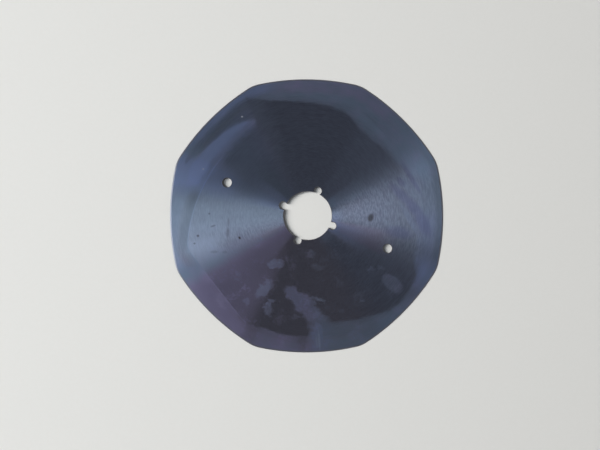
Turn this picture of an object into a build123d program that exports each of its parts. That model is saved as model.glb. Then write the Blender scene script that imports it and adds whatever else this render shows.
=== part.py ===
from build123d import *
import math
import os

# Round-knife blade for a cloth cutting machine: one ground steel plate, lying flat.
# The origin is on the bore's axis, in the blade's flat underside, and +Z is up.
# +X runs through the two pin holes, and one corner of the outline points along it.
# All sizes are in mm, and all angles in degrees.

# Outline: eight slightly bulging sides that meet at softly rounded corners
side_count = 8
corner_reach = 62.7
side_reach = 60.8
corner_blend = 15.0

# Plate
blade_thickness = 1.2

# Cutting edge: a hair of upright land, then the narrow honed bevel
edge_land = 0.05
honed_width = 0.6
honed_height = 0.3

# Ground bevel, between the honed bevel and the flat face.
# It is ground side by side, so it is turned a little against the outline and its width varies.
# Each tuple starts at the pin hole on +X and goes round counter-clockwise.
bevel_turn = -7.5
bevel_width_at_corners = (8.5, 10.0, 10.5, 9.7, 16.6, 7.8, 7.8, 8.4)
bevel_width_at_sides = (9.2, 11.6, 11.3, 15.1, 11.6, 9.9, 7.4, 6.4)
bevel_blend = 9.0

# Bore for the machine's spindle, with four round driving notches in its wall
bore_radius = 10.75
notch_count = 4
notch_radius = 1.75
notch_centre_reach = 11.85

# Two pin holes on the X axis
pin_hole_radius = 2.05
pin_hole_reach = 38.5

# Small bevel that takes the burr off both rims of every hole
deburr = 0.15


def polar_point(reach, angle):
    """The point at a distance from the bore's axis, in a direction."""
    turn = math.radians(angle)
    return Vector(reach * math.cos(turn), reach * math.sin(turn), 0)


def eight_sided_face(corner_reaches, side_reaches, turn, blend, height):
    """A flat face with one arc for each side, through its two corners and its middle."""
    pitch = 360 / side_count
    sides = []
    for index in range(side_count):
        start = polar_point(corner_reaches[index], index * pitch + turn)
        middle = polar_point(side_reaches[index], (index + 0.5) * pitch + turn)
        end = polar_point(corner_reaches[(index + 1) % side_count], (index + 1) * pitch + turn)
        sides.append(ThreePointArc(start, middle, end))
    sharp_face = Face(Wire(sides))
    rounded_face = fillet(sharp_face.vertices(), blend)
    return Pos(0, 0, height) * rounded_face


def outline_face(inset, height):
    """The blade's outline, moved inwards by the inset."""
    corner_reaches = [corner_reach - inset] * side_count
    side_reaches = [side_reach - inset] * side_count
    return eight_sided_face(corner_reaches, side_reaches, 0, corner_blend, height)


def flat_face(height):
    """The part of the upper side that the ground bevel leaves flat."""
    corner_reaches = [corner_reach - width for width in bevel_width_at_corners]
    side_reaches = [side_reach - width for width in bevel_width_at_sides]
    return eight_sided_face(corner_reaches, side_reaches, bevel_turn, bevel_blend, height)


def ground_plate():
    """The plate with its edge land, its honed bevel and its ground bevel."""
    land = extrude(outline_face(0, 0), edge_land)
    honed = loft(
        [outline_face(0, edge_land), outline_face(honed_width, honed_height)],
        ruled=True,
    )
    ground = loft(
        [outline_face(honed_width, honed_height), flat_face(blade_thickness)],
        ruled=True,
    )
    return land + honed + ground


def deburred_hole(radius, reach, angle):
    """A round hole through the plate, opened a little at both rims."""
    through = Cylinder(radius, blade_thickness * 3)
    upper_rim = Pos(0, 0, blade_thickness) * Cone(radius, radius + 2 * deburr, 2 * deburr)
    lower_rim = Cone(radius + 2 * deburr, radius, 2 * deburr)
    centre = polar_point(reach, angle)
    return Pos(centre.X, centre.Y, 0) * (through + upper_rim + lower_rim)


def cutter_blade():
    """The finished blade: the ground plate less its bore, notches and pin holes."""
    blade = ground_plate() - deburred_hole(bore_radius, 0, 0)
    for index in range(notch_count):
        blade -= deburred_hole(notch_radius, notch_centre_reach, index * 360 / notch_count)
    for side in (0, 180):
        blade -= deburred_hole(pin_hole_radius, pin_hole_reach, side)
    return blade


os.makedirs("parts", exist_ok=True)
export_step(cutter_blade(), "parts/cutter_blade.step")
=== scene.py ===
import math

import bpy
import numpy as np
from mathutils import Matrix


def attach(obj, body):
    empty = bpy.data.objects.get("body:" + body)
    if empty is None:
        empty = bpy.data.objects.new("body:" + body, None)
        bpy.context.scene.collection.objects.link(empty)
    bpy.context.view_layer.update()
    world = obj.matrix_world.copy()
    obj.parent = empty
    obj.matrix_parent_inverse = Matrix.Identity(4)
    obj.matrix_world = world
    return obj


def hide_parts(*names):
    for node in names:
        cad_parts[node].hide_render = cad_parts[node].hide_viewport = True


# A ground steel blade lying on a pale table, seen from above in soft light from the left.
# The frame is the CAD part's: the origin is on the bore's axis in the flat underside, +X runs through the
# pin holes, and +Z is up.

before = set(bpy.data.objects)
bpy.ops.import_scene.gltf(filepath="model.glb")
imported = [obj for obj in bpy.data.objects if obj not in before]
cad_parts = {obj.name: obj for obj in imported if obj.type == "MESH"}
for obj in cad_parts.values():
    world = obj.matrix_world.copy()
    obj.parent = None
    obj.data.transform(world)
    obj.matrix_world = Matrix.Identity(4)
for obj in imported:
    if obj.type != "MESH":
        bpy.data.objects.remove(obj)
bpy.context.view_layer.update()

# Sizes of the blade in mm, as in the CAD part
SIDES = 8
CORNER_REACH = 62.7
SIDE_REACH = 60.8
CORNER_BLEND = 15.0
THICKNESS = 1.2
EDGE_LAND = 0.05
HONED_WIDTH = 0.6
HONED_HEIGHT = 0.3
BEVEL_TURN = -7.5
BEVEL_AT_CORNERS = (8.5, 10.0, 10.5, 9.7, 16.6, 7.8, 7.8, 8.4)
BEVEL_AT_SIDES = (9.2, 11.6, 11.3, 15.1, 11.6, 9.9, 7.4, 6.4)
BEVEL_SOFTENING = 3.4
BORE_RADIUS = 10.75
NOTCH_RADIUS = 1.75
NOTCH_REACH = 11.85
PIN_HOLE_RADIUS = 2.05
PIN_HOLE_REACH = 38.5
DEBURR = 0.15

# Where the oil film begins, as pairs of a direction in degrees and a reach in mm. Between the two
# directions of the second value it begins at the bevel's own inner line instead.
FILM_LINE = (
    (0, 51.8), (8, 50.0), (20, 49.0), (32, 49.5), (40, 50.2), (46, 48.2), (53, 46.2), (60, 45.6),
    (68, 44.9), (74, 44.3), (80, 44.7), (84, 45.8), (88, 47.7), (92, 48.7), (100, 49.4), (110, 50.1),
    (119, 50.9), (125, 52.1), (130, 53.7), (134, 55.5), (138, 57.2), (140, 58.3), (140.5, 49.0),
    (141, 47.0), (142, 45.6), (145, 44.8), (158, 44.8), (166, 44.5), (172, 44.9), (180, 46.7),
    (256, 52.9), (258, 54.4), (262, 55.3), (268, 53.6), (273, 53.1), (282, 53.6), (292, 53.6),
    (294, 49.0), (298, 46.5), (303, 46.9), (306, 48.3), (311, 49.2), (318, 50.8), (323, 51.9),
    (328, 53.3), (333, 55.2), (338, 56.4), (344, 56.2), (351, 55.8), (355, 54.8), (358, 53.0),
    (360, 51.8),
)
FILM_ON_BEVEL_LINE = (180, 256)

# A clean band in the film, between two lines of the same kind, and the depth given to places far from it
BAND_INNER_LINE = (
    (139, 48.6), (145, 50.3), (153, 52.2), (162, 53.2), (170, 54.9), (175, 57.2), (180, 60.0),
)
BAND_OUTER_LINE = (
    (139, 58.3), (147, 57.6), (155, 57.0), (165, 57.4), (172, 58.2), (180, 58.6),
)
OUT_OF_BAND = -9.0

# Layout of the mesh. Columns go round the bore, and rings are the radii in mm that the face's rows pass
# through. The patch at each pin hole lies between the outer and the inner ring, and is twice PATCH_COLUMNS
# wide. Steps are the rows of quads from one line to the next.
COLUMNS = 720
HALF_QUARTER = COLUMNS // 8
NOTCH_COLUMNS = 40
BORE_COLUMNS = HALF_QUARTER - NOTCH_COLUMNS
OUTER_RING = 44.0
INNER_RING = 33.0
BORE_RING = 16.0
PATCH_ROWS = 18
PATCH_COLUMNS = 18
MIDDLE_ROWS = 14
BORE_STEPS = 8
HOLE_STEPS = 7
BEVEL_STEPS = 5
MARGIN_STEPS = 4

# Numbers of the three finishes, in the order in which the blade gets them
GROUND = 0
HONED = 1
CUT = 2

MM = 0.001
TURN = 2 * math.pi


# The blade's lines, seen from above

def circle_reach(angles, along, across, radius):
    """Distance from the axis to a circle round (along, across), in each direction. It is the centre's part
    along the direction, plus the root of the radius squared less the centre's part across it squared."""
    ahead = along * np.cos(angles) + across * np.sin(angles)
    aside = across * np.cos(angles) - along * np.sin(angles)
    return ahead + np.sqrt(np.maximum(radius ** 2 - aside ** 2, 0))


def outline_reach(angles, inset=0.0):
    """Distance from the axis to the outline, moved in by the inset. Each side is an arc through two corners
    and the side's middle, with its centre beyond the axis. Near a corner it is the blend's circle, whose
    centre lies on the corner's line and which touches both arcs."""
    corner = CORNER_REACH - inset
    side = SIDE_REACH - inset
    half = math.pi / SIDES
    offset = (side ** 2 - corner ** 2) / (2 * (corner * math.cos(half) - side))
    radius = side + offset
    back = offset * math.cos(half)
    aside = offset * math.sin(half)
    blend_centre = math.sqrt((radius - CORNER_BLEND) ** 2 - aside ** 2) - back
    grow = radius / (radius - CORNER_BLEND)
    touch_x = (blend_centre + back) * grow - back
    touch_y = aside * grow - aside
    from_corner = np.abs((angles + half) % (2 * half) - half)
    sharp = circle_reach(half - from_corner, -offset, 0.0, radius)
    blended = circle_reach(from_corner, blend_centre, 0.0, CORNER_BLEND)
    return np.where(from_corner < math.atan2(touch_y, touch_x), blended, sharp)


def bevel_line_reach(angles):
    """Distance from the axis to the ground bevel's inner line. Each side is the circle through two corners
    and the side's middle, and the corners are softened by the mean over a few degrees."""
    pitch = TURN / SIDES
    start = math.radians(BEVEL_TURN)
    ring = np.arange(COLUMNS) * TURN / COLUMNS
    sharp = np.zeros(COLUMNS)
    for index in range(SIDES):
        reaches = np.array([CORNER_REACH - BEVEL_AT_CORNERS[index],
                            SIDE_REACH - BEVEL_AT_SIDES[index],
                            CORNER_REACH - BEVEL_AT_CORNERS[(index + 1) % SIDES]])
        turns = start + pitch * (index + np.array([0, 0.5, 1]))
        x, y = reaches * np.cos(turns), reaches * np.sin(turns)
        sides = np.array([[x[1] - x[0], y[1] - y[0]], [x[2] - x[0], y[2] - y[0]]])
        halves = 0.5 * np.array([reaches[1] ** 2 - reaches[0] ** 2, reaches[2] ** 2 - reaches[0] ** 2])
        along, across = np.linalg.solve(sides, halves)
        radius = math.hypot(x[0] - along, y[0] - across)
        share = (ring - turns[0]) % TURN
        sharp = np.where(share < pitch, circle_reach(ring, along, across, radius), sharp)
    window = round(BEVEL_SOFTENING / 360 * COLUMNS)
    soft = np.mean([np.roll(sharp, step) for step in range(-window, window + 1)], axis=0)
    return np.interp(angles % TURN, np.append(ring, TURN), np.append(soft, soft[0]))


def film_line_reach(angles):
    """Distance from the axis to where the oil film begins: the bevel's line in one range of directions, and
    elsewhere straight steps between the pairs."""
    degrees = np.degrees(angles) % 360
    on_bevel_line = (degrees > FILM_ON_BEVEL_LINE[0]) & (degrees < FILM_ON_BEVEL_LINE[1])
    return np.where(on_bevel_line, bevel_line_reach(angles), np.interp(degrees, *zip(*FILM_LINE)))


def depth_in_band(angles, reach):
    """How far a point lies inside the clean band: the lesser of its distances from the band's two lines,
    and one depth far outside it in the directions that the band doesn't reach."""
    degrees = np.degrees(angles) % 360
    past_inner = reach - np.interp(degrees, *zip(*BAND_INNER_LINE))
    short_of_outer = np.interp(degrees, *zip(*BAND_OUTER_LINE)) - reach
    in_range = (degrees > BAND_INNER_LINE[0][0]) & (degrees < BAND_INNER_LINE[-1][0])
    return np.where(in_range, np.minimum(past_inner, short_of_outer), OUT_OF_BAND)


def bore_line(grow=0.0):
    """The bore with its four notches, grown by an amount, as points (x, y) and the directions in which
    lines leave them. Half a quarter is the notch's arc from its tip to the mouth, then the bore's arc to
    the middle between two notches. The other half is its mirror image in that middle, and the quarter is
    turned four times. Lines leave the tip and the middle straight outwards, and the mouth's corner half-way
    between the directions of its two arcs."""
    bore = BORE_RADIUS + grow
    notch = NOTCH_RADIUS + grow
    mouth = math.acos((bore ** 2 + NOTCH_REACH ** 2 - notch ** 2) / (2 * bore * NOTCH_REACH))
    notch_end = math.atan2(bore * math.sin(mouth), bore * math.cos(mouth) - NOTCH_REACH)
    round_notch = np.linspace(0, notch_end, NOTCH_COLUMNS + 1)
    round_bore = np.linspace(mouth, math.pi / 4, BORE_COLUMNS + 1)[1:]
    x = np.concatenate([NOTCH_REACH + notch * np.cos(round_notch), bore * np.cos(round_bore)])
    y = np.concatenate([notch * np.sin(round_notch), bore * np.sin(round_bore)])
    leave_mouth = (mouth + notch_end) / 2
    leave = np.concatenate([np.linspace(0, leave_mouth, NOTCH_COLUMNS + 1),
                            np.linspace(leave_mouth, math.pi / 4, BORE_COLUMNS + 1)[1:]])
    quarter_x = np.concatenate([x, y[-2:0:-1]])
    quarter_y = np.concatenate([y, x[-2:0:-1]])
    quarter_leave = np.concatenate([leave, math.pi / 2 - leave[-2:0:-1]])
    reach = np.tile(np.hypot(quarter_x, quarter_y), 4)
    turns = np.repeat(np.arange(4) * math.pi / 2, COLUMNS // 4)
    angle = np.tile(np.arctan2(quarter_y, quarter_x), 4) + turns
    return reach * np.cos(angle), reach * np.sin(angle), np.tile(quarter_leave, 4) + turns


# The mesh

class Shell:
    """One closed mesh, collected as arrays of points and quads. An edge between two points with the same
    fold number stays sharp, unless that number is 0."""

    def __init__(self):
        self.points = []
        self.folds = []
        self.quads = []
        self.finishes = []
        self.count = 0

    def add(self, x, y, z, fold=0):
        """Adds points in mm and returns their numbers, in the arrays' own shape."""
        x, y, z, fold = np.broadcast_arrays(x, y, z, fold)
        self.points.append(np.stack([x.ravel(), y.ravel(), z.ravel()], axis=1))
        self.folds.append(fold.ravel())
        numbers = self.count + np.arange(x.size).reshape(x.shape)
        self.count += x.size
        return numbers

    def skin(self, rows, finishes, kept=True):
        """Quads between neighbouring rows, closed round the columns, where kept is true. Each row of quads
        has one finish."""
        beside = np.roll(rows, -1, axis=1)
        quads = np.stack([rows[:-1], beside[:-1], beside[1:], rows[1:]], axis=2)
        chosen = np.broadcast_to(kept, quads.shape[:2])
        self.quads.append(quads[chosen])
        self.finishes.append(np.broadcast_to(finishes[:, None], quads.shape[:2])[chosen])


def bridge(first, last, steps):
    """Rows of points from one row to another, both left out, in straight lines with equal steps."""
    share = np.arange(1, steps)[:, None] / steps
    return [first[part] * (1 - share) + last[part] * share for part in range(2)]


def face_rows():
    """The flat face's rows (x, y), from the outer ring to the bore's rim. They are circles at equal steps.
    Inside the inner ring their points turn, in step with the radius, towards the places where the lines
    that leave the bore meet the bore ring, and the last rows go in along those lines."""
    around = np.arange(COLUMNS) * TURN / COLUMNS
    x, y, leave = bore_line(DEBURR)
    ahead = x * np.cos(leave) + y * np.sin(leave)
    far = -ahead + np.sqrt(ahead ** 2 - x ** 2 - y ** 2 + BORE_RING ** 2)
    ring_angle = np.arctan2(y + far * np.sin(leave), x + far * np.cos(leave))
    lead = (ring_angle - around + math.pi) % TURN - math.pi
    patch = np.linspace(OUTER_RING, INNER_RING, PATCH_ROWS + 1)
    middle = np.linspace(INNER_RING, BORE_RING, MIDDLE_ROWS + 1)[1:]
    reach = np.concatenate([patch, middle])[:, None]
    share = np.clip((INNER_RING - reach) / (INNER_RING - BORE_RING), 0, 1)
    angle = around + lead * share
    rows_x, rows_y = reach * np.cos(angle), reach * np.sin(angle)
    inner_x, inner_y = bridge((rows_x[-1], rows_y[-1]), (x, y), BORE_STEPS)
    return np.vstack([rows_x, inner_x, x]), np.vstack([rows_y, inner_y, y])


def frame_of_patch(rows, outer, inner, middle):
    """The numbers of the points round a block of the grid, counter-clockwise seen from above."""
    columns = (middle + np.arange(-PATCH_COLUMNS, PATCH_COLUMNS + 1)) % COLUMNS
    step = 1 if inner > outer else -1
    down = np.arange(outer, inner, step)
    return np.concatenate([rows[outer, columns[:-1]], rows[down, columns[-1]],
                           rows[inner, columns[:0:-1]], rows[down + step, columns[0]][::-1]])


def blade_shell():
    """The blade's whole surface, and the points of the upright edges at the notches' mouths. One profile is
    carried round the axis and closed on itself, with a patch of rings at each pin hole. It goes from the
    underside's outer edge up the land, the honed bevel and the ground bevel, over the face, down the bore
    and back along the underside. The ground bevel is straight between its two lines."""
    shell = Shell()
    around = np.arange(COLUMNS) * TURN / COLUMNS
    cosine, sine = np.cos(around), np.sin(around)

    def ring(reach, z, fold=0):
        """A row of points at this reach in each direction."""
        return shell.add(reach * cosine, reach * sine, z, fold)

    edge = outline_reach(around)
    honed = outline_reach(around, HONED_WIDTH)
    line = bevel_line_reach(around)
    rows = [ring(edge, 0, 1), ring(edge, EDGE_LAND, 2), ring(honed, HONED_HEIGHT, 3)]
    honed_end = len(rows) - 1
    for share in np.arange(1, BEVEL_STEPS) / BEVEL_STEPS:
        height = HONED_HEIGHT + (THICKNESS - HONED_HEIGHT) * share
        rows.append(ring(honed + (line - honed) * share, height))
    rows.append(ring(line, THICKNESS, 4))
    for share in np.arange(1, MARGIN_STEPS) / MARGIN_STEPS:
        rows.append(ring(line + (OUTER_RING - line) * share, THICKNESS))
    top_start = len(rows)
    face_x, face_y = face_rows()
    rim_x, rim_y = face_x[-1], face_y[-1]
    wall_x, wall_y, _ = bore_line()
    rows.extend(shell.add(face_x[:-1], face_y[:-1], THICKNESS))
    wall_start = len(rows)
    rows.append(shell.add(rim_x, rim_y, THICKNESS, 5))
    rows.append(shell.add(wall_x, wall_y, THICKNESS - DEBURR, 6))
    rows.append(shell.add(wall_x, wall_y, DEBURR, 7))
    rows.append(shell.add(rim_x, rim_y, 0, 8))
    wall_end = len(rows)
    rows.extend(shell.add(face_x[-2::-1], face_y[-2::-1], 0))
    under_start = len(rows) - 1
    for share in np.arange(1, MARGIN_STEPS) / MARGIN_STEPS:
        rows.append(ring(OUTER_RING + (edge - OUTER_RING) * share, 0))
    rows.append(rows[0])
    grid = np.array(rows)

    kept = np.full((len(rows) - 1, COLUMNS), True)
    finishes = np.full(len(rows) - 1, GROUND)
    finishes[:honed_end] = HONED
    finishes[wall_start:wall_end - 1] = CUT
    top_end = top_start + PATCH_ROWS
    under_end = under_start - PATCH_ROWS
    for middle, side in ((0, 1), (COLUMNS // 2, -1)):
        columns = (middle + np.arange(-PATCH_COLUMNS, PATCH_COLUMNS)) % COLUMNS
        kept[top_start:top_end, columns] = False
        kept[under_end:under_start, columns] = False
        above = frame_of_patch(grid, top_start, top_end, middle)
        below = frame_of_patch(grid, under_start, under_end, middle)
        points = np.vstack(shell.points)[above]
        centre = side * PIN_HOLE_REACH
        turn = np.arctan2(points[:, 1], points[:, 0] - centre)
        rim_radius = PIN_HOLE_RADIUS + DEBURR
        rim = (centre + rim_radius * np.cos(turn), rim_radius * np.sin(turn))
        wall = (centre + PIN_HOLE_RADIUS * np.cos(turn), PIN_HOLE_RADIUS * np.sin(turn))
        in_x, in_y = bridge((points[:, 0], points[:, 1]), rim, HOLE_STEPS)
        patch = [above, *shell.add(in_x, in_y, THICKNESS)]
        patch.append(shell.add(*rim, THICKNESS, 9))
        patch.append(shell.add(*wall, THICKNESS - DEBURR, 10))
        patch.append(shell.add(*wall, DEBURR, 11))
        patch.append(shell.add(*rim, 0, 12))
        patch.extend(shell.add(in_x[::-1], in_y[::-1], 0))
        patch.append(below)
        hole = np.full(len(patch) - 1, GROUND)
        hole[HOLE_STEPS:-HOLE_STEPS] = CUT
        shell.skin(np.array(patch), hole)
    shell.skin(grid, finishes, kept)
    tips = np.arange(0, COLUMNS, 2 * HALF_QUARTER)
    mouths = np.concatenate([tips + NOTCH_COLUMNS, (tips - NOTCH_COLUMNS) % COLUMNS])
    return shell, grid[wall_start:wall_end, mouths]


def blade_mesh(name):
    """Turns the shell into a Blender mesh that is smooth except at its folds. Its attributes are four
    lengths in mm: how far a point lies past the bevel's inner line, past the film's line, inside the
    outline and inside the clean band."""
    shell, corners = blade_shell()
    used, quads = np.unique(np.vstack(shell.quads), return_inverse=True)
    quads = quads.reshape(-1, 4)
    points = np.vstack(shell.points)[used]
    folds = np.concatenate(shell.folds)[used]
    corner_number = np.zeros(shell.count, int)
    corner_number[corners] = np.arange(1, corners.shape[1] + 1)
    corner_number = corner_number[used]
    mesh = bpy.data.meshes.new(name)
    mesh.vertices.add(len(points))
    mesh.vertices.foreach_set("co", (points * MM).astype(np.float32).ravel())
    mesh.loops.add(quads.size)
    mesh.loops.foreach_set("vertex_index", quads.astype(np.int32).ravel())
    mesh.polygons.add(len(quads))
    mesh.polygons.foreach_set("loop_start", np.arange(0, quads.size, 4, dtype=np.int32))
    mesh.polygons.foreach_set("material_index", np.concatenate(shell.finishes).astype(np.int32))
    mesh.update(calc_edges=True)
    mesh.validate()

    ends = np.empty(len(mesh.edges) * 2, np.int32)
    mesh.edges.foreach_get("vertices", ends)
    first, second = ends.reshape(-1, 2).T
    sharp = (folds[first] == folds[second]) & (folds[first] > 0)
    sharp |= (corner_number[first] == corner_number[second]) & (corner_number[first] > 0)
    mesh.attributes.new("sharp_edge", "BOOLEAN", "EDGE").data.foreach_set("value", sharp)

    angle = np.arctan2(points[:, 1], points[:, 0])
    reach = np.hypot(points[:, 0], points[:, 1])
    lengths = {"past_bevel_line": reach - bevel_line_reach(angle),
               "past_film_line": reach - film_line_reach(angle),
               "inside_edge": outline_reach(angle) - reach,
               "inside_band": depth_in_band(angle, reach)}
    for label, values in lengths.items():
        mesh.attributes.new(label, "FLOAT", "POINT").data.foreach_set("value", values.astype(np.float32))
    return mesh


# Materials

class Wire:
    """A shader socket that takes part in sums, each of which adds a Math node."""

    def __init__(self, finish, socket):
        self.finish = finish
        self.socket = socket

    def __add__(self, other):
        return self.finish.maths("ADD", self, other)

    __radd__ = __add__

    def __mul__(self, other):
        return self.finish.maths("MULTIPLY", self, other)

    __rmul__ = __mul__

    def __sub__(self, other):
        return self.finish.maths("SUBTRACT", self, other)

    def __rsub__(self, other):
        return self.finish.maths("SUBTRACT", other, self)

    def __truediv__(self, other):
        return self.finish.maths("DIVIDE", self, other)


class Finish:
    """One procedural material, built node by node. Its patterns read Object coordinates, turned into mm."""

    def __init__(self, name):
        self.material = bpy.data.materials.new(name)
        self.material.use_nodes = True
        self.tree = self.material.node_tree
        self.tree.nodes.clear()
        place = self.node("ShaderNodeTexCoord", output="Object")
        self.place = self.node("ShaderNodeVectorMath", {"operation": "SCALE"}, {0: place, "Scale": 1 / MM})
        flat = self.node("ShaderNodeVectorMath", {"operation": "MULTIPLY"}, {0: self.place, 1: (1, 1, 0)})
        self.reach = self.node("ShaderNodeVectorMath", {"operation": "LENGTH"}, {0: flat}, "Value")
        self.direction = self.node("ShaderNodeVectorMath", {"operation": "NORMALIZE"}, {0: flat})

    def node(self, kind, settings=None, values=None, output=0):
        """Adds a node with its settings, then the values or wires of its sockets.
        Returns one output, or several."""
        made = self.tree.nodes.new(kind)
        for name, value in (settings or {}).items():
            setattr(made, name, value)
        for name, value in (values or {}).items():
            if isinstance(value, Wire):
                self.tree.links.new(value.socket, made.inputs[name])
            else:
                made.inputs[name].default_value = value
        if isinstance(output, tuple):
            return [Wire(self, made.outputs[name]) for name in output]
        return Wire(self, made.outputs[output]) if output is not None else made

    def maths(self, operation, *values):
        """A Math node on these values or wires."""
        return self.node("ShaderNodeMath", {"operation": operation}, dict(enumerate(values)))

    def greatest(self, *values):
        """The greatest of several values, or 0 where all are below it."""
        total = 0.0
        for value in values:
            total = self.maths("MAXIMUM", value, total)
        return total

    def parts(self, vector):
        """A vector's three coordinates."""
        return self.node("ShaderNodeSeparateXYZ", {}, {0: vector}, ("X", "Y", "Z"))

    def ramp(self, value, start, end, low=0.0, high=1.0):
        """Goes smoothly from low to high while the value goes from start to end."""
        values = {"Value": value, "From Min": start, "From Max": end, "To Min": low, "To Max": high}
        return self.node("ShaderNodeMapRange", {"interpolation_type": "SMOOTHSTEP"}, values)

    def blend(self, share, first, second):
        """A colour between two colours."""
        return self.node("ShaderNodeMix", {"data_type": "RGBA"}, {0: share, 6: first, 7: second}, 2)

    def noise(self, vector, scale, detail=2.0, roughness=0.5, output=0):
        """Cloudy noise between 0 and 1."""
        values = {"Vector": vector, "Scale": scale, "Detail": detail, "Roughness": roughness}
        return self.node("ShaderNodeTexNoise", {}, values, output)

    def length(self, name):
        """One of the mesh's lengths in mm."""
        return self.node("ShaderNodeAttribute", {"attribute_name": name}, output="Fac")

    def sector(self, middle, half, fade):
        """1 in the directions within half of the middle, and 0 beyond a further fade, in degrees.
        It is the cosine of the angle from the middle, ramped between the two limits' cosines."""
        middle = math.radians(middle)
        facing = self.node("ShaderNodeVectorMath", {"operation": "DOT_PRODUCT"},
                           {0: self.direction, 1: (math.cos(middle), math.sin(middle), 0)}, "Value")
        return self.ramp(facing, math.cos(math.radians(half + fade)), math.cos(math.radians(half)))

    def grain(self, across, along):
        """Noise in arcs round the bore, quick with the reach and slow along the arc. It is the noise at the
        point whose coordinates are the reach and the direction's two parts, each scaled."""
        east, north, _ = self.parts(self.direction)
        point = {0: self.reach * across, 1: east * along, 2: north * along}
        return self.noise(self.node("ShaderNodeCombineXYZ", {}, point), 1.0, 3.0, 0.6)

    def spot(self, where, x, y, half_length, half_width, turn, fade):
        """1 inside an ellipse and 0 outside it. It is the length of the point's offset from the middle,
        turned back and divided by the two half sizes, ramped round 1. The height hardly counts."""
        ellipse = {"Location": (x, y, 0), "Rotation": (0, 0, math.radians(turn)),
                   "Scale": (half_length, half_width, 1000)}
        offset = self.node("ShaderNodeMapping", {"vector_type": "TEXTURE"}, {"Vector": where, **ellipse})
        away = self.node("ShaderNodeVectorMath", {"operation": "LENGTH"}, {0: offset}, "Value")
        return self.ramp(away, 1 + fade / 2, 1 - fade / 2)

    def spots(self, where, marks, fade=0.45):
        """The greatest of several spots, each times its strength, which is a mark's last number."""
        return self.greatest(*(self.spot(where, *ellipse, fade) * strength for *ellipse, strength in marks))

    def shader(self, **values):
        """The Principled shader, with its sockets by name."""
        sockets = {}
        for name, value in values.items():
            sockets[name.replace("_", " ").title().replace("Ior", "IOR")] = value
        return self.node("ShaderNodeBsdfPrincipled", {}, sockets)

    def surface(self, shader):
        """Makes a shader the material's surface, and returns the material."""
        self.node("ShaderNodeOutputMaterial", {}, {"Surface": shader}, None)
        return self.material


# Marks on the blade: the middle (x, y), the half length and half width in mm, the turn in degrees and the
# strength
OIL_SMEARS = (
    (-5.0, -25.0, 3.6, 1.9, 27, 0.7), (-4.2, -24.2, 1.1, 0.8, 22, 0.4),
    (-5.8, -37.9, 4.3, 2.2, 64, 0.7), (-4.5, -34.7, 2.2, 2.6, 22, 0.5),
    (-0.2, -44.5, 3.3, 1.8, 112, 0.7), (-0.6, -40.8, 1.7, 0.7, 27, 0.8),
    (-10.6, -45.3, 1.6, 1.3, 142, 0.4), (-24.5, -36.8, 1.2, 0.7, 42, 0.3),
    (-18.3, -35.4, 0.9, 0.7, 22, 0.3), (-17.8, -37.7, 1.7, 0.7, 32, 0.3),
    (12.4, -43.4, 1.9, 0.9, 32, 0.3), (17.8, -32.6, 3.2, 0.5, 5, 0.6),
    (35.1, -11.6, 1.9, 1.1, 32, 0.3), (38.9, -8.9, 1.4, 0.9, 22, 0.25),
    (7.2, -15.2, 2.4, 1.6, 22, 0.3), (12.9, -19.3, 2.8, 1.3, 12, 0.25),
    (30.1, -33.1, 0.9, 0.9, 22, 0.3), (37.1, -25.7, 0.9, 0.7, 22, 0.3),
)
OIL_RUN = (
    (6.8, -34.4, 3.6, 3.0, 152, 0.8), (12.3, -36.6, 5.0, 3.8, 155, 0.8), (18.4, -39.7, 5.2, 3.7, 150, 0.72),
    (15.7, -34.8, 3.0, 1.5, 150, 0.6),
    (23.8, -43.7, 5.6, 4.9, 125, 0.7), (26.5, -49.0, 6.5, 4.4, 112, 0.7), (24.6, -48.4, 8.0, 3.2, 112, 1.0),
)
# Thin lines of oil along the run's edge, painted pale as a highlight on them
OIL_LINE_HIGHLIGHTS = (
    (25.9, -49.6, 4.2, 0.5, 117, 0.5), (25.0, -50.4, 2.8, 0.4, 117, 0.35), (20.0, -32.0, 1.9, 0.5, 12, 0.3),
)
FINGER_MARK = (
    (46.2, -13.5, 5.2, 3.1, 163, 0.5),
)
BARE_SPOTS = (
    (19.3, -52.9, 4.2, 1.6, 110, 0.4),
)
PALE_WIPES = (
    (43.3, 15.4, 9.1, 1.3, 143, 0.4), (38.1, 28.7, 5.4, 2.4, 142, 0.4), (39.8, 32.4, 5.0, 1.8, 125, 0.45),
)
DARK_WIPES = (
    (35.4, 24.4, 6.4, 2.0, 157, 0.42), (42.8, 21.0, 6.2, 2.3, 152, 0.5), (48.4, 16.8, 6.4, 2.6, 142, 0.5),
    (36.2, 33.3, 7.6, 1.0, 144, 0.4), (32.8, 29.7, 2.4, 1.3, 149, 0.4), (40.5, 8.6, 5.6, 2.6, 11, 0.4),
)
DARK_SPECKS = (
    (26.3, 9.8, 1.7, 1.2, 92, 0.75),
    (-41.4, -26.6, 0.55, 0.5, 22, 0.6), (-41.5, -30.3, 0.45, 0.4, 22, 0.5),
    (-24.1, -20.5, 0.65, 0.4, 142, 0.9), (-29.8, -20.2, 2.0, 0.7, 112, 0.36),
    (-36.9, -20.1, 1.1, 0.4, 42, 0.4), (-40.5, -15.7, 0.45, 0.45, 22, 0.4),
    (-32.2, -30.5, 1.6, 0.6, 22, 0.2), (-27.8, -28.8, 1.0, 0.6, 22, 0.18),
    (-31.2, -16.0, 1.8, 0.4, 112, 0.3),
)
BRIGHT_SPECKS = (
    (-43.5, 29.5, 0.36, 0.3, 22, 0.8), (-50.5, 1.5, 0.36, 0.3, 22, 0.35),
)

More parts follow.
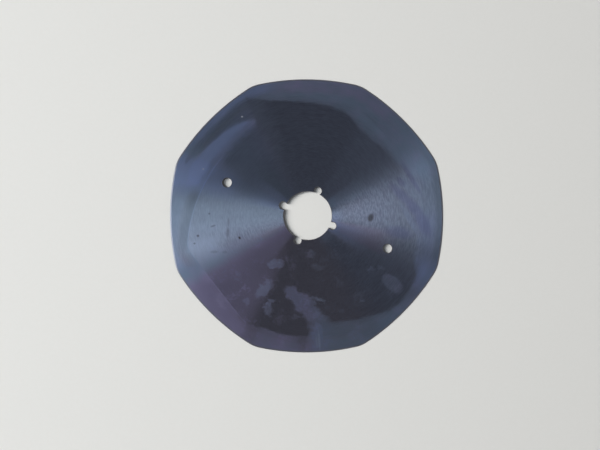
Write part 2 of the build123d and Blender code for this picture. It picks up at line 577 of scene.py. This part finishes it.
# Patches on the blade: a sector's middle, half width and fade in degrees, and a strength. A length's name
# after them, with a start and an end in mm, means that the patch comes up while the length goes from the
# start to the end.
FILM_EDGE_SOFTNESS = (
    (218, 34, 6, -0.42), (72, 30, 20, 0.6), (125, 18, 12, 0.1), (160, 18, 8, 1.3), (318, 35, 10, 0.3),
    (18, 16, 14, 1.5),
)
THINNER_FILM = (
    (20, 12, 14, 0.6), (251, 13, 8, 0.48), (306, 14, 10, 0.18),
    (208, 13, 10, 0.6), (208, 13, 10, 0.4, ("off_bare_ring", 3.6, 1.2)),
)
THICKER_FILM = (
    (184, 4, 7, 0.3), (6, 10, 12, 0.35), (232, 8, 8, 0.4, ("inside_edge", 5.0, 2.0)),
)
LONG_STREAK = (
    (163, 16, 10, 1.0, ("inside_edge", 5.5, 8.5)),
)
# The first two patches are painted light, the bright fan's skirt, drawn as haze
HAZE_AND_SHEEN_WITHIN_FILM_LINE = (
    (164, 19, 18, 0.14), (164, 19, 18, 0.16, ("reach", 22, 38)), (62, 14, 12, 0.16),
    (181, 4, 9, 0.4, ("reach", 28, 44)), (186, 7, 7, 0.3, ("past_bevel_line", 2.0, 6.0)),
)
# The first patch is a painted highlight along the bevel's crease, and those that fade in towards the bore
# paint light near it
FAINT_HAZE_AND_SHEEN = (
    (216, 40, 12, 0.45, ("off_crease", 0.32, 0.08)), (244, 13, 12, 0.75, ("reach", 12, 40)),
    (358, 6, 9, 0.6, ("reach", 34, 16)), (177, 9, 8, 0.36, ("reach", 34, 16)),
    (242, 6, 10, 0.6, ("reach", 34, 16)), (50, 5, 7, 0.36, ("reach", 34, 16)),
    (12, 42, 15, 0.36, ("reach", 17, 12.5)),
)
FLECKS = (
    (285, 55, 25, 0.25), (252, 14, 16, 0.22),
)
# Painted glints: the grain's contrast raised where the two bright fans fall
PAINTED_GLINTS = (
    (208, 18, 10, 1.6), (24, 18, 12, 3.0),
)
VIOLET_ON_STEEL = (
    (244, 13, 12, 0.6), (3, 5, 6, 0.45, ("reach", 46, 30)),
)
WARMTH_ON_STEEL = (
    (285, 22, 30, 0.75),
)
TEAL_ON_STEEL = (
    (180, 18, 26, 0.45),
)
# Painted light: paler steel in the left bright fan, near the bevel's line
PAINTED_LIGHT_ON_STEEL = (
    (224, 4, 7, 0.5, ("reach", 36, 46), ("past_bevel_line", 4.0, 0.0)),
    (212, 2, 5, 0.12, ("reach", 30, 44), ("past_bevel_line", 0.6, -0.2)),
)
VIOLET_ON_FILM = (
    (249, 11, 10, 1.2), (278, 12, 12, 0.7), (0, 10, 14, 0.4),
    (100, 20, 16, 0.45, ("inside_edge", 8.0, 4.5)),
)
BLUE_ON_FILM = (
    (184, 4, 7, 0.7), (6, 10, 12, 0.7), (150, 14, 12, 0.7, ("inside_edge", 6.0, 4.0)),
)
# Painted shade: darker patches on the left bevel, round the right bright fan and along the right rim
PAINTED_SHADE_PATCHES = (
    (205, 10, 8, 0.28, ("past_bevel_line", 0.0, 0.6)),
    (205, 10, 8, 0.26, ("past_bevel_line", 0.0, 0.6), ("past_bevel_line", 5.5, 3.0)),
    (198, 4, 6, 0.08, ("past_bevel_line", 0.4, -0.4)), (20, 12, 14, 0.24, ("reach", 31, 43)),
    (26, 18, 12, 0.4, ("inside_edge", 5.0, 2.0)), (352, 4, 6, 0.28, ("inside_edge", 5.0, 2.0)),
)

# How far past the bevel's line, in mm, are the crease's painted highlight and the ring that the film leaves
# bare
CREASE_AT = 0.1
BARE_RING_AT = 3.0

# How far, in mm, noise moves the film's line, and the places of marks with torn edges
WANDER = 2.2
RAGGEDNESS = 5.0

# How much a full haze covers the steel's colour and takes from its metal, and the most that either may be
HAZE_COVER = 0.75
MOST_COVER = 0.9
HAZE_DULLING = 0.11
MOST_DULLING = 0.3

# The slopes that turn the bright fans: the brighter fan's direction in degrees, its slope at a reach of
# 1 mm, the slope behind the bore, and how far across the fan, as a share of the reach, they come up
FAN_TURN = 25.0
FAN_SLOPE = 12.5
BACK_SLOPE = 0.03
FAN_SIDE = 0.35

# The height of the grain's ridges in mm, and what the grain and the film do to the roughness
GRAIN_HEIGHT = 0.028
STEEL_ROUGHNESS = 0.515
GRAIN_GLOSS = 0.16
FILM_MATTING = 0.06

# Colours
STEEL_DARK = (0.246, 0.278, 0.381, 1)
STEEL_LIGHT = (0.389, 0.447, 0.589, 1)
STEEL_VIOLET = (0.40, 0.34, 0.49, 1)
STEEL_TEAL = (0.29, 0.38, 0.48, 1)
# Painted light on the steel, and the painted highlight on the oil lines
STEEL_PAINTED_LIGHT = (0.50, 0.59, 0.78, 1)
STEEL_WARM = (0.39, 0.368, 0.452, 1)
STEEL_WIPED = (0.19, 0.20, 0.39, 1)
# Painted shade
STEEL_PAINTED_SHADE = (0.17, 0.21, 0.27, 1)
FILM_TEAL = (0.32, 0.43, 0.62, 1)
FILM_VIOLET = (0.43, 0.40, 0.66, 1)
FILM_BLUE = (0.34, 0.44, 0.78, 1)
FILM_PALE = (0.36, 0.41, 0.62, 1)
SOOT = (0.05, 0.04, 0.045, 1)
DUST = (0.75, 0.77, 0.80, 1)
EDGE_DARK = (0.40, 0.40, 0.48, 1)
EDGE_LIGHT = (0.50, 0.51, 0.60, 1)
WALL_DARK = (0.16, 0.15, 0.17, 1)
WALL_LIGHT = (0.30, 0.30, 0.34, 1)


class GroundSteel(Finish):
    """The blade's ground steel: a circular grain under a thin film of oil, which begins near the bevel.
    Its lengths are in mm, and its noises' scales are per mm. on_top is 0 on the underside and 1 above it."""

    def __init__(self):
        super().__init__("ground_steel")
        names = ("past_bevel_line", "past_film_line", "inside_edge", "inside_band")
        self.lengths = {name: self.length(name) for name in names}
        past_bevel = self.lengths["past_bevel_line"]
        self.lengths["reach"] = self.reach
        self.lengths["off_crease"] = self.maths("ABSOLUTE", past_bevel - CREASE_AT)
        self.lengths["off_bare_ring"] = self.maths("ABSOLUTE", past_bevel - BARE_RING_AT)
        east, north, up = self.parts(self.place)
        fan = math.radians(FAN_TURN)
        self.across_fan = north * math.cos(fan) - east * math.sin(fan)
        self.on_top = self.ramp(up, 0.01, 0.05)
        self.cloud = self.noise(self.place, 0.16, 3.0, 0.55)
        self.mottle = self.noise(self.place, 0.9, 3.0, 0.6)
        self.fine_grain = self.grain(2.4, 11.0)
        self.ragged_place = self.ragged()
        self.smears = self.spots(self.ragged_place, OIL_SMEARS) * (0.35 + self.mottle * 1.4)
        self.run = self.spots(self.ragged_place, OIL_RUN, 0.6) * (0.75 + self.mottle * 0.5)
        self.wipes = self.spots(self.place, PALE_WIPES, 0.5)
        self.streak = self.patches(LONG_STREAK)
        self.streak_core = self.streak * self.ramp(past_bevel, 1.0, 4.5)

    def patches(self, listed):
        """The sum of several patches, each its sector times its strength and its lengths' ramps."""
        total = 0.0
        for middle, half, fade, strength, *rises in listed:
            patch = self.sector(middle, half, fade) * strength
            for name, start, end in rises:
                patch = patch * self.ramp(self.lengths[name], start, end)
            total = total + patch
        return total

    def ragged(self):
        """The place, shifted by a noise, so that marks drawn with it have torn edges."""
        noise = self.noise(self.place, 0.45, 3.0, 0.6, output="Color")
        values = {0: noise, 1: (RAGGEDNESS, RAGGEDNESS, 0), 2: (-RAGGEDNESS / 2, -RAGGEDNESS / 2, 0)}
        shift = self.node("ShaderNodeVectorMath", {"operation": "MULTIPLY_ADD"}, values)
        return self.node("ShaderNodeVectorMath", {"operation": "ADD"}, {0: self.place, 1: shift})

    def film(self):
        """How deep the film of oil is. It rises across its own soft line and further out, less so in the
        clean band, the bare spots and the thinner patches, and is cloudy and streaked along the grain."""
        past_film = self.lengths["past_film_line"]
        wander = (self.noise(self.place, 0.35, 3.0) - 0.5) * WANDER
        softness = 0.6 + self.patches(FILM_EDGE_SOFTNESS)
        rise = self.ramp(past_film + wander * softness, 0 - softness, softness)
        rise = rise * self.ramp(past_film, -1.0, 5.0, 0.64, 1.0)
        band = self.ramp(self.lengths["inside_band"] + wander * 0.3, -1.6, 0.9)
        bare = self.spots(self.ragged_place, BARE_SPOTS, 1.2)
        kept = (1 - band * 0.9) * (1 - bare) * (1 - self.patches(THINNER_FILM))
        streaks = self.grain(0.55, 2.2) * 0.5 + self.grain(1.5, 6.0) * 0.4
        depth = 0.3 + self.cloud * 0.5 + streaks + self.streak_core * 0.36 + self.patches(THICKER_FILM)
        return rise * kept * depth + self.ramp(self.lengths["inside_edge"], 5.0, 1.0) * 0.1

    def haze(self, film):
        """All that lies over the steel, and painted light drawn as haze: the film or the oil's marks,
        whichever is more, a haze where the film hasn't begun with the bright fan's painted skirt in it,
        faint hazes with a painted highlight along the bevel's crease and painted light near the bore, and
        flecks. There is none on the underside."""
        finger = self.spots(self.place, FINGER_MARK, 0.5)
        haze = self.greatest(film, self.smears, finger, self.run, self.wipes)
        haze = haze + self.patches(HAZE_AND_SHEEN_WITHIN_FILM_LINE) * self.ramp(film, 1.0, 0.0)
        flecks = self.patches(FLECKS) * self.ramp(self.mottle + self.cloud, 1.06, 1.22)
        return (haze + self.patches(FAINT_HAZE_AND_SHEEN) + flecks) * self.on_top

    def bare_steel(self):
        """The steel's colour. The grain mixes dark with light, and painted glints make it mix most in the
        two bright fans. The steel turns violet, warm or teal in its patches, and painted light makes it pale
        in others."""
        # Painted glints in the two bright fans
        painted_glints = (self.grain(1.7, 16.0) - 0.5) * self.patches(PAINTED_GLINTS)
        light = self.ramp(self.fine_grain, 0.3, 0.7, 0.25, 0.75) + painted_glints
        violet = self.patches(VIOLET_ON_STEEL) + self.noise(self.place, 0.06) * 0.2
        steel = self.blend(light, STEEL_DARK, STEEL_LIGHT)
        steel = self.blend(violet, steel, STEEL_VIOLET)
        steel = self.blend(self.patches(WARMTH_ON_STEEL), steel, STEEL_WARM)
        steel = self.blend(self.patches(TEAL_ON_STEEL), steel, STEEL_TEAL)
        # Painted light in the pale patches
        return self.blend(self.patches(PAINTED_LIGHT_ON_STEEL), steel, STEEL_PAINTED_LIGHT)

    def oil_colour(self):
        """The film scatters a little blue light. It is teal, turns violet or bluer in its patches, in the
        long streak and in the oil's run, and is paler in the smears and the wipes."""
        violet = 0.1 + (self.cloud - 0.5) * 1.2 + self.patches(VIOLET_ON_FILM)
        violet = violet + self.streak * (1 - self.streak_core) * 0.8
        blue = self.patches(BLUE_ON_FILM) + self.streak * 0.8 + self.run * 0.35
        oil = self.blend(violet, FILM_TEAL, FILM_VIOLET)
        oil = self.blend(blue, oil, FILM_BLUE)
        return self.blend(self.greatest(self.smears, self.wipes), oil, FILM_PALE)

    def relief(self):
        """The ground face's fine ridges, on slopes too slight to see that turn the two bright fans. The
        height is the distance across the brighter fan's middle line, times a slope that comes up from one
        side of the line to the other. On the fan's side of the bore the slope falls with the square of the
        reach. Behind the bore it grows with the reach, and runs the other way."""
        ahead = self.sector(FAN_TURN, 60, 60)
        slope = ahead * FAN_SLOPE / (self.reach * self.reach)
        slope = slope - (1 - ahead) * self.ramp(self.reach, 12, 50, 0.0, BACK_SLOPE)
        slope = slope * self.ramp(self.across_fan / self.reach, -FAN_SIDE, FAN_SIDE)
        height = self.across_fan * slope + self.fine_grain * GRAIN_HEIGHT
        return self.node("ShaderNodeBump", {}, {"Strength": 1.0, "Distance": MM, "Height": height})

    def marked(self, colour, marks, mark_colour, fade):
        """A colour with marks on it, and how strongly they show. There are none on the underside."""
        shown = self.spots(self.place, marks, fade) * self.on_top
        return self.blend(shown, colour, mark_colour), shown


def ground_steel():
    """The steel, then the haze over it, the painted shade, the dark wipes, the thin lines of oil with a
    painted highlight on them and the specks. The haze and the specks let less of the metal show."""
    finish = GroundSteel()
    film = finish.film()
    haze = finish.haze(film)
    cover = finish.maths("MINIMUM", haze * HAZE_COVER, MOST_COVER)
    colour = finish.blend(cover, finish.bare_steel(), finish.oil_colour())
    # Painted shade by direction
    colour = finish.blend(finish.patches(PAINTED_SHADE_PATCHES) * finish.on_top, colour, STEEL_PAINTED_SHADE)
    colour, _ = finish.marked(colour, DARK_WIPES, STEEL_WIPED, 1.0)
    # Painted highlight on the oil lines
    colour, _ = finish.marked(colour, OIL_LINE_HIGHLIGHTS, STEEL_PAINTED_LIGHT, 0.7)
    colour, soot = finish.marked(colour, DARK_SPECKS, SOOT, 0.9)
    colour, dust = finish.marked(colour, BRIGHT_SPECKS, DUST, 0.8)
    dulling = finish.maths("MINIMUM", haze * HAZE_DULLING, MOST_DULLING)
    metallic = 1 - dulling - dust * 0.35 - soot * 0.2
    roughness = STEEL_ROUGHNESS - finish.fine_grain * GRAIN_GLOSS + film * FILM_MATTING
    return finish.surface(finish.shader(base_color=colour, metallic=metallic, roughness=roughness,
                                        anisotropic=1.0, anisotropic_rotation=0.25, normal=finish.relief()))


def honed_edge():
    """The honed cutting edge: finer and brighter than the rest."""
    finish = Finish("honed_edge")
    grain = finish.grain(6.0, 40.0)
    colour = finish.blend(grain, EDGE_DARK, EDGE_LIGHT)
    return finish.surface(finish.shader(base_color=colour, metallic=1.0, roughness=0.30 + grain * 0.1))


def cut_wall():
    """The walls of the bore, the notches and the pin holes, turned or reamed and left darker."""
    finish = Finish("cut_wall")
    lines = finish.noise(finish.place, 3.0, 3.0)
    colour = finish.blend(lines, WALL_DARK, WALL_LIGHT)
    return finish.surface(finish.shader(base_color=colour, metallic=1.0, roughness=0.42 + lines * 0.12))


blade = bpy.data.objects.new("ground_blade", blade_mesh("ground_blade"))
bpy.context.scene.collection.objects.link(blade)
for material in (ground_steel(), honed_edge(), cut_wall()):
    blade.data.materials.append(material)
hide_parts("cutter_blade")
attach(blade, "root")


# Table and backdrop

# The table is flat out to its reach, and then its rim bends up. Its sizes are in metres.
FLAT_ROWS = (0.0001, 0.1, 0.3, 0.6)
TABLE_REACH = 0.9
RIM_WIDTH = 0.4
RIM_HEIGHT = 0.38
RIM_ROWS = 24
TABLE_COLUMNS = 96
TABLE_DROP = 0.00005

# Where the backdrop begins and where it is full, in mm from the bore's axis
BACKDROP_START = 350
BACKDROP_FULL = 1000

PAPER_DARK = (0.78, 0.77, 0.74, 1)
PAPER_LIGHT = (0.80, 0.79, 0.765, 1)
BACKDROP = (0.66, 0.66, 0.635, 1)


def bowl_mesh(name):
    """A profile carried round the Z axis: a flat table, then a quarter of an ellipse up to a low wall. It
    lies a hair under the blade, and its quads face up and inwards."""
    bend = np.linspace(0, math.pi / 2, RIM_ROWS)
    reach = np.concatenate([FLAT_ROWS, TABLE_REACH + RIM_WIDTH * np.sin(bend)])
    height = np.concatenate([np.zeros(len(FLAT_ROWS)), RIM_HEIGHT * (1 - np.cos(bend))]) - TABLE_DROP
    around = np.arange(TABLE_COLUMNS) * TURN / TABLE_COLUMNS
    x = reach[:, None] * np.cos(around)
    y = reach[:, None] * np.sin(around)
    points = np.stack(np.broadcast_arrays(x, y, height[:, None]), axis=2).reshape(-1, 3)
    numbers = np.arange(len(points)).reshape(len(reach), TABLE_COLUMNS)
    beside = np.roll(numbers, -1, axis=1)
    quads = np.stack([numbers[:-1], numbers[1:], beside[1:], beside[:-1]], axis=2).reshape(-1, 4)
    middle = numbers[0]
    mesh = bpy.data.meshes.new(name)
    mesh.from_pydata(points.tolist(), [], [*quads.tolist(), middle.tolist()])
    mesh.polygons.foreach_set("use_smooth", np.full(len(mesh.polygons), True))
    return mesh


def table_paper():
    """Pale paper. Far from the blade it turns into an even pale backdrop, which shows to the camera and in
    reflections, and lights nothing."""
    finish = Finish("table_paper")
    grain = finish.noise(finish.place, 0.6, 3.0)
    paper = finish.shader(base_color=finish.blend(grain, PAPER_DARK, PAPER_LIGHT),
                          roughness=0.9, specular_ior_level=0.1)
    backdrop = finish.node("ShaderNodeEmission", {}, {"Color": BACKDROP, "Strength": 1.0})
    seen, mirrored = finish.node("ShaderNodeLightPath", output=("Is Camera Ray", "Is Glossy Ray"))
    far = finish.ramp(finish.reach, BACKDROP_START, BACKDROP_FULL) * finish.greatest(seen, mirrored)
    return finish.surface(finish.node("ShaderNodeMixShader", {}, {0: far, 1: paper, 2: backdrop}))


table = bpy.data.objects.new("table", bowl_mesh("table"))
bpy.context.scene.collection.objects.link(table)
table.data.materials.append(table_paper())


# Light

COOL_LIGHT = (0.88, 0.95, 1.0)
WARM_LIGHT = (1.0, 0.99, 0.97)
ROOM = (0.095, 0.10, 0.11, 1)


def soft_box(name, around, down, distance, width, height, power, colour, in_gloss=True):
    """A rectangular lamp that faces the origin. around is its direction seen from above, and down is its
    angle from straight up, both in degrees. Its width lies level, and distances are in metres."""
    lamp = bpy.data.lights.new(name, "AREA")
    lamp.shape = "RECTANGLE"
    lamp.size = height
    lamp.size_y = width
    lamp.energy = power
    lamp.color = colour
    made = bpy.data.objects.new(name, lamp)
    around, down = math.radians(around), math.radians(down)
    made.location = (distance * math.sin(down) * math.cos(around),
                     distance * math.sin(down) * math.sin(around),
                     distance * math.cos(down))
    made.rotation_euler = (0, down, around)
    made.visible_camera = False
    made.visible_glossy = in_gloss
    bpy.context.scene.collection.objects.link(made)


# The small cool lamp makes the sheen of the steel. The large one, which isn't mirrored, lights the table.
soft_box("window", 205, 42, 0.9, 0.44, 0.30, 2.3, COOL_LIGHT)
soft_box("fill", 194, 62, 3.6, 1.5, 1.5, 169.0, WARM_LIGHT, in_gloss=False)

world = bpy.data.worlds.new("studio")
world.use_nodes = True
world.node_tree.nodes["Background"].inputs["Color"].default_value = ROOM
world.node_tree.nodes["Background"].inputs["Strength"].default_value = 1.0
bpy.context.scene.world = world
bpy.context.scene.view_settings.view_transform = "Standard"


# Camera, nearly straight above: its lens and film in mm, its place in metres and its turn in degrees

LENS = 34.8
FILM_WIDTH = 36
CAMERA_PLACE = (-0.008374, -0.009465, 0.258022)
CAMERA_TURN = (0.3203, -1.7716, 22.2906)

lens = bpy.data.cameras.new("camera")
lens.lens = LENS
lens.sensor_width = FILM_WIDTH
camera = bpy.data.objects.new("camera", lens)
camera.location = CAMERA_PLACE
camera.rotation_euler = [math.radians(angle) for angle in CAMERA_TURN]
bpy.context.scene.collection.objects.link(camera)
bpy.context.scene.camera = camera
